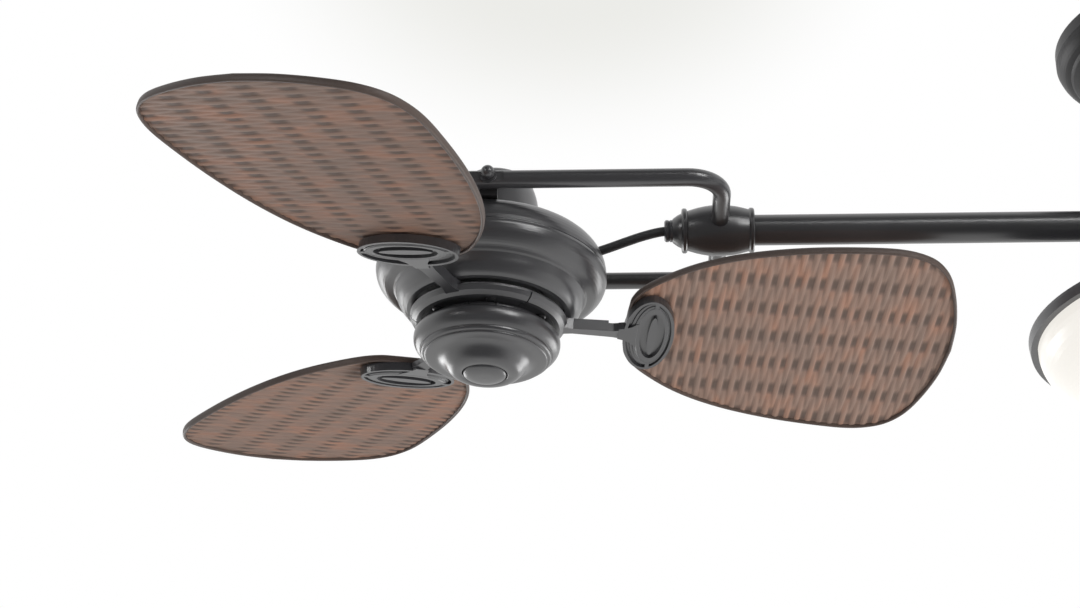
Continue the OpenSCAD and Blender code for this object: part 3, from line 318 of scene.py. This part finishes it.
finishes = {
    "graphite": paintedMetal("graphitePaint", (0.037, 0.0365, 0.0395), 0.3, speckle=0.05, bump=0.012,
                             index=1.88),
    # painted light: the dark graphite is given a lighter colour than the plain graphite, so the parts in it
    # render lit
    "graphite_dark": paintedMetal("darkGraphiteLitPaint", (0.056, 0.0555, 0.0615), 0.3, speckle=0.05,
                                  bump=0.012, index=1.75),
    "plain_steel": paintedMetal("zincSteel", (0.55, 0.55, 0.57), 0.35, metallic=0.9, drift=0.2),
    "dark_steel": paintedMetal("blackSteel", (0.05, 0.05, 0.052), 0.38, metallic=0.6),
    "copper_wire": paintedMetal("copperWire", (0.6, 0.24, 0.1), 0.35, metallic=0.9),
    "core_steel": paintedMetal("coreSteel", (0.32, 0.32, 0.33), 0.5, metallic=0.8, drift=0.2),
    "pale_plastic": paintedMetal("palePlastic", (0.78, 0.76, 0.72), 0.5, drift=0.05, speckle=0.03),
    "cord_rubber": paintedMetal("cordRubber", (0.03, 0.03, 0.032), 0.55, drift=0.2),
    "woven_cane": wovenCane(caneLook),
    "opal_glass": opalMaterial("opalGlass", 0.77, opalLook),
    "bulb_glass": opalMaterial("bulbGlass", 2.0, opalLook)}
# painted shade: the canopy, in dark graphite in the record, gets its own darker and duller copy of that
# paint
canopyShadedPaint = paintedMetal("canopyShadedPaint", (0.03, 0.0297, 0.032), 0.42, drift=0.25, speckle=0.15, index=1.36)
stainedRim = paintedMetal("stainedRim", (0.085, 0.06, 0.05), 0.5, drift=0.3, speckle=0.2)
for row in frame["record"]["subparts"]:
    solid = nodes[row["node"]]
    solid.data.materials.clear()
    solid.data.materials.append(canopyShadedPaint if row["node"] == "canopy" else finishes[row["material_slot"]])
print("finishes set")

# Woven blades, in mm and degrees: their places, the rim, the weave, its painted shade where strands dip
# under stakes, and the face's grid.
# The leaf is given as hundredths of the way from root to tip and shares of the half width there
bladeShape = {"root": 109, "tip": 372.6, "half": 115.7, "start": 5.7, "count": 3, "leafSteps": 8,
              "leaf": [(0, 0), (0.4, 0.2), (1, 0.3), (3.5, 0.41), (9, 0.54), (17, 0.68), (26, 0.79),
                       (37, 0.88), (50.5, 0.95), (64.5, 0.99), (75.5, 1), (83, 0.965), (88.5, 0.89),
                       (93, 0.75), (96.5, 0.53), (99, 0.27), (100, 0)],
              "rimHeight": 3.0, "rimWidth": 1.4, "rimSides": 12, "rimSquare": 0.7,
              "weaver": 4.7, "stakeGap": 35.0, "stakeWidth": 9.0, "stakeRise": 0.55, "noStake": -2,
              "lift": 0.7, "pinch": 1.6, "strandHalf": 0.6, "archFill": 0.96, "bulge": 1.6, "sag": 0.6,
              "dipFrom": 0.66, "dipFade": 0.3, "dipLeast": 0.45, "edgeFrom": 0.5, "edgeGain": 1.2,
              "edgeMost": 0.3, "rows": 300, "columns": 130, "endGap": 1.2, "sideGap": 1.6,
              "leastHalf": 0.4, "leastHeight": 0.25, "uvUnit": 100, "uvApart": 3, "tones": 200, "seed": 7}
azimuths = [bladeShape["start"] + 360 / bladeShape["count"] * k for k in range(bladeShape["count"])]


def bladeSide(shape):
    # one side of the leaf, from its root to its tip: a curve through the knots
    knots = np.array(shape["leaf"])
    along = shape["root"] + (shape["tip"] - shape["root"]) * knots[:, 0] / 100
    return curvePoints(np.stack([along, shape["half"] * knots[:, 1]], 1), shape["leafSteps"])


def weaveHeight(along, across, shape, face):
    # Height of the woven face above the blade's middle plane, its painted shade where it dips under a stake
    # and along its strands' edges, and which strand it is.
    # A strand's back is an arch, the root of 1 - x^2 across it. Its sway, a cosine over the stakes that
    # changes sign from strand to strand and from face to face, lifts it over one stake and under the next.
    # A stake is an arch too, and the face is the higher of the two.
    index = np.floor(along / shape["weaver"])
    local = along / shape["weaver"] - index - 0.5
    arch = np.sqrt(np.clip(1 - (2 * local * shape["archFill"]) ** 2, 0, 1))
    rowPhase = across / shape["stakeGap"]
    sway = np.cos(np.pi * rowPhase) * np.where(index % 2 == 0, 1, -1) * face
    pinched = np.sign(sway) * np.abs(sway) ** shape["pinch"]
    weaver = shape["lift"] * pinched + shape["strandHalf"] * (shape["bulge"] * arch - shape["sag"])
    toStake = np.abs(rowPhase - np.round(rowPhase)) * shape["stakeGap"] / (shape["stakeWidth"] / 2)
    stake = np.where(toStake < 1, shape["stakeRise"] * np.sqrt(np.clip(1 - toStake ** 2, 0, 1)),
                     shape["noStake"])
    height = np.maximum(weaver, stake)
    # painted shade: 0 on a strand's back, a little along its edges, and up to 1 where it runs under a stake
    under = np.clip((-sway - shape["dipFrom"]) / shape["dipFade"], 0, 1)
    edgeShade = np.clip((shape["edgeFrom"] - arch) * shape["edgeGain"], 0, shape["edgeMost"])
    paintedShade = np.clip(under * (shape["dipLeast"] + (1 - shape["dipLeast"]) * arch) + edgeShade, 0, 1)
    return height, paintedShade, index


def bladePanel(name, side, azimuth, shape):
    # two woven faces, a grid each: u runs along the blade, v is a share of its half width there
    line = bladeSide(shape)
    along = np.linspace(shape["root"] + shape["endGap"], shape["tip"] - shape["endGap"], shape["rows"])
    order = np.argsort(line[:, 0])
    half = np.interp(along, line[order, 0], line[order, 1]) - shape["sideGap"]
    half = np.clip(half, shape["leastHalf"], None)
    share = np.linspace(-1, 1, shape["columns"])
    u = np.repeat(along[:, None], shape["columns"], 1)
    v = half[:, None] * share[None, :]
    layers, uvs, paintedShades, tones, faces = [], [], [], [], []
    rng = np.random.default_rng(shape["seed"] + int(azimuth))
    strandTone = rng.uniform(0, 1, shape["tones"])
    quads = gridFaces(shape["rows"], shape["columns"])
    for face in (-1, 1):
        height, paintedShade, index = weaveHeight(u, v, shape, face)
        layers.append(np.stack([u, v, face * np.maximum(height, shape["leastHeight"])], -1).reshape(-1, 3))
        uvs.append(np.stack([u / shape["uvUnit"], v / shape["uvUnit"] + face * shape["uvApart"]],
                            -1).reshape(-1, 2))
        paintedShades.append(paintedShade.ravel())
        tones.append(strandTone[(index.astype(int) * 2 + (face > 0)) % shape["tones"]].ravel())
        offset = (face > 0) * shape["rows"] * shape["columns"]
        faces.append((quads if face > 0 else quads[:, ::-1]) + offset)
    panel = makePiece(name, intoHead(onBlade(np.vstack(layers), azimuth), side), np.vstack(faces))
    mesh = panel.data
    # the painted shade and each strand's tone are kept on the points
    for key, values in (("paintedShade", paintedShades), ("strand", tones)):
        layer = mesh.attributes.new(key, "FLOAT", "POINT")
        layer.data.foreach_set("value", np.concatenate(values).astype(np.float32))
    uvLayer = mesh.uv_layers.new(name="blade")
    corner = np.empty(len(mesh.loops), np.int64)
    mesh.loops.foreach_get("vertex_index", corner)
    uvLayer.data.foreach_set("uv", np.vstack(uvs)[corner].astype(np.float32).ravel())
    mesh.materials.append(finishes["woven_cane"])
    return panel


def bladeRim(name, side, azimuth, shape):
    # a bar swept round the blade's outline: its section is an oval, squared by a power below 1
    line = bladeSide(shape)
    loop = np.vstack([line, (line * [1, -1])[-2:0:-1]])
    step = np.roll(loop, -1, 0) - np.roll(loop, 1, 0)
    step /= np.linalg.norm(step, axis=1)[:, None]
    inward = np.stack([step[:, 1], -step[:, 0]], 1)
    turn = fullTurn(shape["rimSides"])
    outX = np.sign(np.cos(turn)) * np.abs(np.cos(turn)) ** shape["rimSquare"] * shape["rimWidth"]
    outZ = np.sign(np.sin(turn)) * np.abs(np.sin(turn)) ** shape["rimSquare"] * shape["rimHeight"]
    centre = loop + inward * shape["rimWidth"]
    ring = np.zeros((len(loop), len(turn), 3))
    ring[:, :, :2] = centre[:, None, :] + inward[:, None, :] * outX[None, :, None]
    ring[:, :, 2] = outZ[None, :]
    rim = makePiece(name, intoHead(onBlade(ring.reshape(-1, 3), azimuth), side),
                    ringFaces(len(loop), len(turn)))
    rim.data.materials.append(stainedRim)
    return rim


for side in heads:
    for k, azimuth in enumerate(azimuths, 1):
        for make, label in ((bladePanel, "Weave"), (bladeRim, "Rim")):
            piece = make(f"{side}Blade{k}{label}", side, azimuth, bladeShape)
            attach(piece, f"{side}_rotor")
            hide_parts(f"{side}_blades")
print("blades woven")

# Steps round the plateau of each medallion, in the moat inside its rim. Each oval is its middle, half
# width and half length in mm; the line has shares of the way from the inner to the outer, and heights
stepShape = {"inner": (131, 11.4, 35.1), "outer": (128, 17.9, 41.6), "sides": 120,
             "line": [(0, -7), (0, -10.1), (0.12, -10.1), (0.18, -9.7), (0.4, -9.5), (0.46, -8.7),
                      (0.68, -8.5), (0.74, -7.7), (1, -7.5), (1, -6)]}


def medallionSteps(name, side, azimuth, shape):
    # the line carried round between the two ovals
    line = np.array(shape["line"])
    turn = fullTurn(shape["sides"])
    near, far = (np.stack([at + wide * np.cos(turn), long * np.sin(turn)], 1)
                 for at, wide, long in (shape["inner"], shape["outer"]))
    share = line[:, 0][:, None, None]
    points = np.concatenate([near * (1 - share) + far * share,
                             np.repeat(line[:, 1][:, None, None], shape["sides"], 1)], -1)
    steps = makePiece(name, intoHead(onBlade(points.reshape(-1, 3), azimuth), side),
                      ringFaces(len(line), shape["sides"])[:, ::-1], smooth=False)
    steps.data.materials.append(finishes["graphite"])
    return steps


for side in heads:
    for k, azimuth in enumerate(azimuths, 1):
        steps = medallionSteps(f"{side}Medallion{k}Steps", side, azimuth, stepShape)
        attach(steps, f"{side}_rotor")
print("medallions stepped")

# Leads from the forks to the motors, in mm: a path's first number is 1 at the gland nut and 0 at the motor
leadShape = {"radius": 3.85, "sides": 20, "from": 150.5, "to": 70, "steps": 6,
             "path": [(1, 0), (0.89, -0.1), (0.78, -1.2), (0.622, -4.8), (0.463, -9.5), (0.305, -14.5),
                      (0.195, -17.8), (0.0976, -20.6), (0, -24)]}


def makeLead(side, shape):
    # a round section carried along the path, square to it, with a flat cap at each end
    share = np.array(shape["path"])
    reach = shape["to"] + (shape["from"] - shape["to"]) * share[:, 0]
    path = curvePoints(np.stack([reach, 0 * share[:, 0], share[:, 1]], 1), shape["steps"])
    step = np.gradient(path, axis=0)
    step /= np.linalg.norm(step, axis=1)[:, None]
    across = np.array([0, 1.0, 0])
    up = np.cross(step, across)
    sides = shape["sides"]
    turn = fullTurn(sides)
    ring = path[:, None, :] + shape["radius"] * (np.cos(turn)[None, :, None] * across
                                                 + np.sin(turn)[None, :, None] * up[:, None, :])
    last = (len(path) - 1) * sides
    caps = [list(range(sides))[::-1], list(range(last, last + sides))]
    lead = makePiece(f"{side}Lead", intoHead(ring.reshape(-1, 3), side, lean=0),
                     gridFaces(len(path), sides, closed=True).tolist() + caps)
    lead.data.materials.append(finishes["cord_rubber"])
    return lead, intoHead(path, side, lean=0)


for side in heads:
    lead, line = makeLead(side, leadShape)
    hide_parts(f"{side}_lead")
    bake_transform(lead)
print("leads swept")

# Switch cups, as radius and height in mm: outside a shoulder, a double bead, a flat ring, a hollow and
# the boss round the plug, then back along the inside
cupShape = {"sides": 160, "outerSteps": 3, "innerSteps": 2,
            "outer": [(49, -88), (49, -92.2), (49.4, -92.9), (51.5, -93.1), (54.5, -93.35), (56.4, -93.9),
                      (57.6, -95.2), (58.2, -97.2), (58.35, -99.5), (58, -102), (57.1, -104.3),
                      (55.6, -106.5), (53.8, -108.1), (52.6, -108.9), (52, -109), (51.9, -109.5),
                      (51.8, -110.5), (51.2, -111.6), (50.3, -112.2), (49.5, -112.4), (48.9, -112.5),
                      (48.8, -112.8), (48.7, -113.4), (47.9, -114.1), (45.5, -114.5), (42, -114.8),
                      (39.5, -115.1), (37.2, -115.8), (35, -117), (33, -118.8), (31.3, -120.9),
                      (29.8, -123), (28.2, -124.9), (26.2, -126.5), (23.8, -127.5), (21.2, -127.9),
                      (19.2, -127.8), (18.2, -127.4), (17.75, -126.6), (17.75, -125)],
            "inner": [(19, -125.2), (22, -126.2), (25, -125.2), (27.2, -123.3), (29.8, -119.9),
                      (32.5, -116.8), (36, -114.4), (42, -113.3), (47.2, -112.5), (47.6, -111.2),
                      (50.2, -110.2), (51, -107.8), (54.4, -105.3), (56.3, -102.6), (56.8, -99.5),
                      (56.5, -97), (55.2, -95), (49.6, -94.6), (47.7, -93.2), (47.7, -88)]}


def cupShell(name, side, shape):
    # the closed outline turned about the head's axis: (r cos a, r sin a, z)
    line = np.vstack([curvePoints(shape["outer"], shape["outerSteps"]),
                      curvePoints(shape["inner"], shape["innerSteps"])])
    turn = fullTurn(shape["sides"])
    points = np.stack([line[:, None, 0] * np.cos(turn), line[:, None, 0] * np.sin(turn),
                       np.repeat(line[:, None, 1], shape["sides"], 1)], -1)
    cup = makePiece(name, intoHead(points.reshape(-1, 3), side),
                    ringFaces(len(line), shape["sides"])[:, ::-1])
    cup.data.materials.append(finishes["graphite"])
    return cup


for side in heads:
    cup = cupShell(f"{side}CupShell", side, cupShape)
    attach(cup, f"{side}_head")
    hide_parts(f"{side}_switch_cup")
print("cups turned")

# The room, in metres and shares of white. Its shade is what paint and glass mirror of the viewer's side,
# and its patch is a painted shadow high on the ceiling: soft and grey, squeezed from a round one
room = {"floorDrop": 2.3, "floorHalf": 9, "floorColour": (0.8, 0.8, 0.79, 1), "floorRough": 0.7,
        "floorGlow": (0.96, 0.96, 0.95, 1), "floorSeen": 0.62, "viewerSide": (0.0, -1.0, 0.0),
        "shadeSpan": (-0.1, 0.6), "shade": (1.0, 0.12), "lightColour": (0.96, 0.98, 1, 1), "light": 0.32,
        "patchMove": (0.02, 0, -0.6), "patchSqueeze": (7, 0, 13), "patchSpan": (0.35, 1.15),
        "patch": (0.84, 1.0), "patchBlue": 1.2}


def viewerShade(tree, way, mirrored, look):
    # share of white in a direction: low toward the viewer's side for mirrored rays, full for all others
    toward = addNode(tree, "ShaderNodeVectorMath", {0: way, 1: look["viewerSide"]}, operation="DOT_PRODUCT")
    dim = rangeNode(tree, toward.outputs["Value"], look["shadeSpan"], look["shade"],
                    interpolation_type="SMOOTHSTEP")
    return addNode(tree, "ShaderNodeMix", {"Factor": mirrored, 2: 1.0, 3: dim}).outputs[0]


def makeWorld(look):
    # white where it is seen, mirrored or looked through; what it throws on the fan is weaker and even
    world = bpy.data.worlds.new("paleRoom")
    scene.world = world
    world.use_nodes = True
    tree = world.node_tree
    tree.nodes.clear()
    rays = addNode(tree, "ShaderNodeLightPath").outputs
    seen = mathNode(tree, "MAXIMUM", rays["Is Camera Ray"], rays["Is Transmission Ray"])
    seen = mathNode(tree, "MAXIMUM", seen, rays["Is Glossy Ray"])
    way = addNode(tree, "ShaderNodeTexCoord").outputs["Generated"]
    # painted shadow on the ceiling: a soft grey patch, a touch warmer where its blue falls faster
    squeezed = addNode(tree, "ShaderNodeVectorMath", {0: movedNode(tree, way, location=look["patchMove"]),
                                                      1: look["patchSqueeze"]}, operation="MULTIPLY")
    patch = rangeNode(tree, lengthNode(tree, squeezed.outputs[0]), look["patchSpan"], look["patch"],
                      interpolation_type="SMOOTHSTEP")
    blue = mathNode(tree, "POWER", patch, look["patchBlue"])
    tone = addNode(tree, "ShaderNodeCombineColor", {0: patch, 1: patch, 2: blue})
    shade = viewerShade(tree, way, rays["Is Glossy Ray"], look)
    shown = addNode(tree, "ShaderNodeBackground", {"Color": tone.outputs[0], "Strength": shade})
    light = addNode(tree, "ShaderNodeBackground", {"Color": look["lightColour"], "Strength": look["light"]})
    mixed = addNode(tree, "ShaderNodeMixShader", {0: seen, 1: light.outputs[0], 2: shown.outputs[0]})
    addNode(tree, "ShaderNodeOutputWorld", {0: mixed.outputs[0]})


def floorMaterial(look):
    # a lit floor, blended with an even pale tone by a share for the camera and wholly for mirrored rays;
    # from below it is clear
    material, tree, shader = newMaterial("paleFloor")
    shader.inputs["Base Color"].default_value = look["floorColour"]
    shader.inputs["Roughness"].default_value = look["floorRough"]
    surface = addNode(tree, "ShaderNodeNewGeometry").outputs
    rays = addNode(tree, "ShaderNodeLightPath").outputs
    mirrored = mathNode(tree, "MAXIMUM", rays["Is Glossy Ray"], rays["Is Transmission Ray"])
    away = scaledNode(tree, surface["Incoming"], -1.0)
    shade = viewerShade(tree, away, rays["Is Glossy Ray"], look)
    pale = addNode(tree, "ShaderNodeEmission", {"Color": look["floorGlow"], "Strength": shade})
    share = mathNode(tree, "MULTIPLY_ADD", rays["Is Camera Ray"], look["floorSeen"], mirrored)
    mixed = addNode(tree, "ShaderNodeMixShader", {0: share, 1: shader.outputs[0], 2: pale.outputs[0]})
    clear = addNode(tree, "ShaderNodeBsdfTransparent")
    mixed = addNode(tree, "ShaderNodeMixShader", {0: surface["Backfacing"], 1: mixed.outputs[0],
                                                  2: clear.outputs[0]})
    tree.links.new(mixed.outputs[0], tree.nodes["Material Output"].inputs[0])
    return material


def makeFloor(look):
    half = look["floorHalf"]
    corners = np.array([[-half, -half, 0], [half, -half, 0], [half, half, 0], [-half, half, 0]])
    floor = makePiece("floor", corners - np.array([0, 0, look["floorDrop"]]), [[0, 1, 2, 3]], smooth=False)
    floor.data.materials.append(floorMaterial(look))
    return floor


makeWorld(room)
floor = makeFloor(room)

# Places and sizes in metres, power in watts. The lamps light the fan and aren't mirrored in its paint; the
# soft boxes only show as highlights on it: three stand before the fan, two low behind it
lamps = {
    "keyLamp": {"spot": (2.15, -1.2, -1.55), "aim": (-0.4, 0, -0.25), "size": (1.3, 1.3), "power": 66},
    "fillLamp": {"spot": (-1.6, -2.4, -1.2), "aim": (-0.4, 0, -0.25), "size": (1.0, 1.0), "power": 10},
    "topLamp": {"spot": (0, 0.6, 2.2), "aim": (0, 0, -0.2), "size": (3, 2.5), "power": 30}}
softBoxes = {
    "frontLeftBox": {"spot": (-2.4, -2.3, 0.35), "aim": (-0.57, 0, -0.27), "size": (0.7, 0.7), "power": 12},
    "frontRightBox": {"spot": (1.25, -2.3, 0.35), "aim": (-0.57, 0, -0.27), "size": (0.7, 0.7), "power": 14},
    "frontStrip": {"spot": (1.2, -2.6, 1.25), "aim": (0.1, 0, 0), "size": (2.4, 0.3), "power": 22},
    "backLeftBox": {"spot": (-1.94, 1.94, -0.47), "aim": (-0.57, 0, -0.27), "size": (1.0, 1.0), "power": 12},
    "backRightBox": {"spot": (1.04, 1.63, -0.9), "aim": (-0.57, 0, -0.27), "size": (1.0, 1.0), "power": 12}}


def areaLight(name, spot, aim, size, power, mirrored):
    # faces its aim with its x level: z points back along the beam
    lamp = bpy.data.lights.new(name, "AREA")
    lamp.shape = "RECTANGLE"
    lamp.size, lamp.size_y = size
    lamp.energy = power
    holder = bpy.data.objects.new(name, lamp)
    scene.collection.objects.link(holder)
    spot, aim = np.array(spot, float), np.array(aim, float)
    z = (spot - aim) / np.linalg.norm(spot - aim)
    x = np.cross([0, 0, 1.0], z)
    x /= np.linalg.norm(x)
    y = np.cross(z, x)
    holder.matrix_world = Matrix.Translation(spot) @ Matrix((x, y, z)).transposed().to_4x4()
    holder.visible_glossy, holder.visible_diffuse, holder.visible_camera = mirrored, not mirrored, False


for group, mirrored in ((lamps, False), (softBoxes, True)):
    for name, lamp in group.items():
        areaLight(name, **lamp, mirrored=mirrored)
print("room lit")
